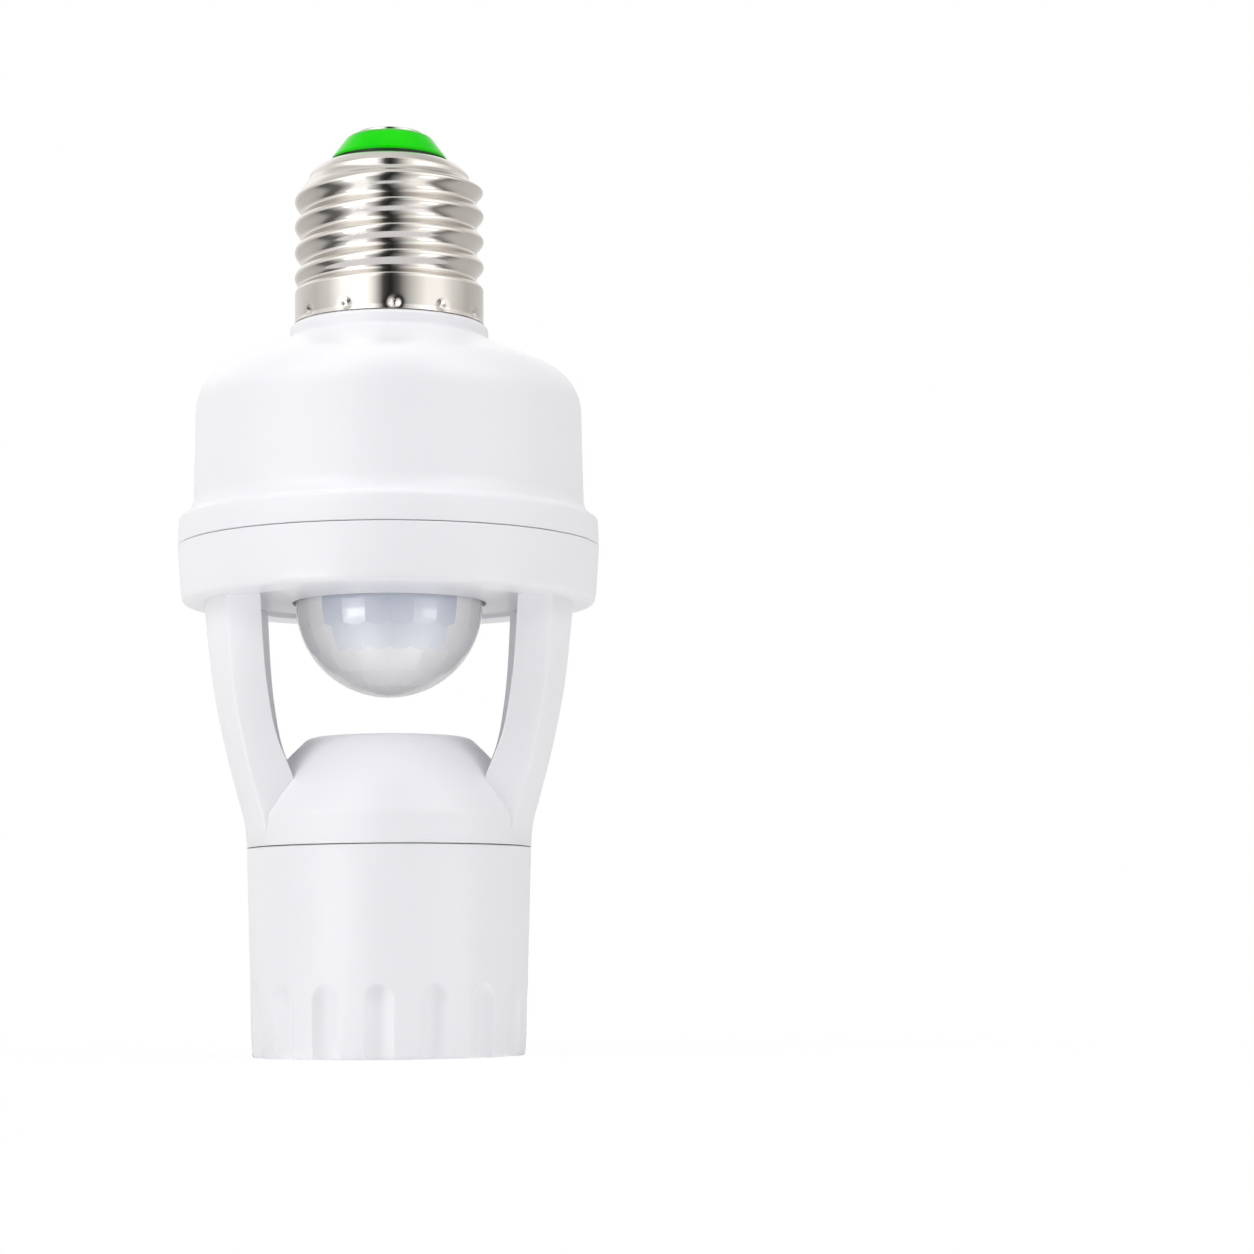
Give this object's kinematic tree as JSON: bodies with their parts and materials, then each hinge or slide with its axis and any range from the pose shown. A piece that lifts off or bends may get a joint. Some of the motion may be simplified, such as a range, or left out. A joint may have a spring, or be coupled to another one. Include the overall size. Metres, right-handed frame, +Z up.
{
  "type": "motion sensor lamp holder",
  "caption": "White screw-in lamp holder with a domed motion sensor: a metal screw cap on top, a bell housing, two arms and a lamp socket below.",
  "frame": {"origin": "middle of the socket's mouth, on the plane of its rim", "axes": "+Z up along the common axis to the tip of the screw cap; -Y is the front, where the gap between the two arms is seen; the arms stand at +X and -X"},
  "size_m": [0.0582, 0.0582, 0.1285],
  "materials": {
    "nickel": "nickel-plated rolled sheet",
    "bead": "glossy green insulating bead",
    "housing": "white moulding, soft gloss",
    "lens": "milky translucent lens sheet",
    "liner": "white insulating plastic",
    "can": "nickel-plated can",
    "window": "dark infrared window",
    "cell": "ceramic light cell",
    "board": "green glass-epoxy board",
    "film": "dipped film capacitor",
    "sleeve": "printed-free dark sleeve",
    "relay": "blue relay case",
    "chip": "moulded black body",
    "resistor": "coated resistor body",
    "line_insulation": "black insulation",
    "neutral_insulation": "white insulation",
    "terminal": "spring brass",
    "screw": "zinc-plated screw"
  },
  "bodies": {
    "holder": {"cap_shell": "nickel", "cap_insulator": "bead", "cap_tip_contact": "nickel", "bell_housing": "housing", "yoke": "housing", "sensor_lens": "lens", "lens_retainer": "liner", "pir_sensor": "can", "pir_window": "window", "sensor_spacer": "liner", "photocell": "cell", "circuit_board": "board", "film_capacitor": "film", "electrolytic_large": "sleeve", "electrolytic_small": "sleeve", "relay": "relay", "control_chip": "chip", "line_wire": "line_insulation", "neutral_wire": "neutral_insulation", "lamp_line_wire": "line_insulation", "lamp_neutral_wire": "neutral_insulation", "socket_cup": "housing", "socket_core": "liner", "screw_shell": "nickel", "shell_terminal": "terminal", "contact_terminal": "terminal", "board_screw_1": "screw", "board_screw_2": "screw", "board_screw_3": "screw", "diode_1": "chip", "diode_2": "chip", "resistor_1": "resistor", "resistor_2": "resistor"},
    "contact_leaf": {"centre_contact": "terminal"}
  },
  "joints": [
    {"name": "centre_contact_flex", "type": "hinge", "parent": "holder", "child": "contact_leaf", "pos_m": [-0.0065, 0, 0.02375], "axis": [0, 1, 0], "range_deg": [-10, 0], "stiffness_Nm_per_rad": 0.25}
  ]
}
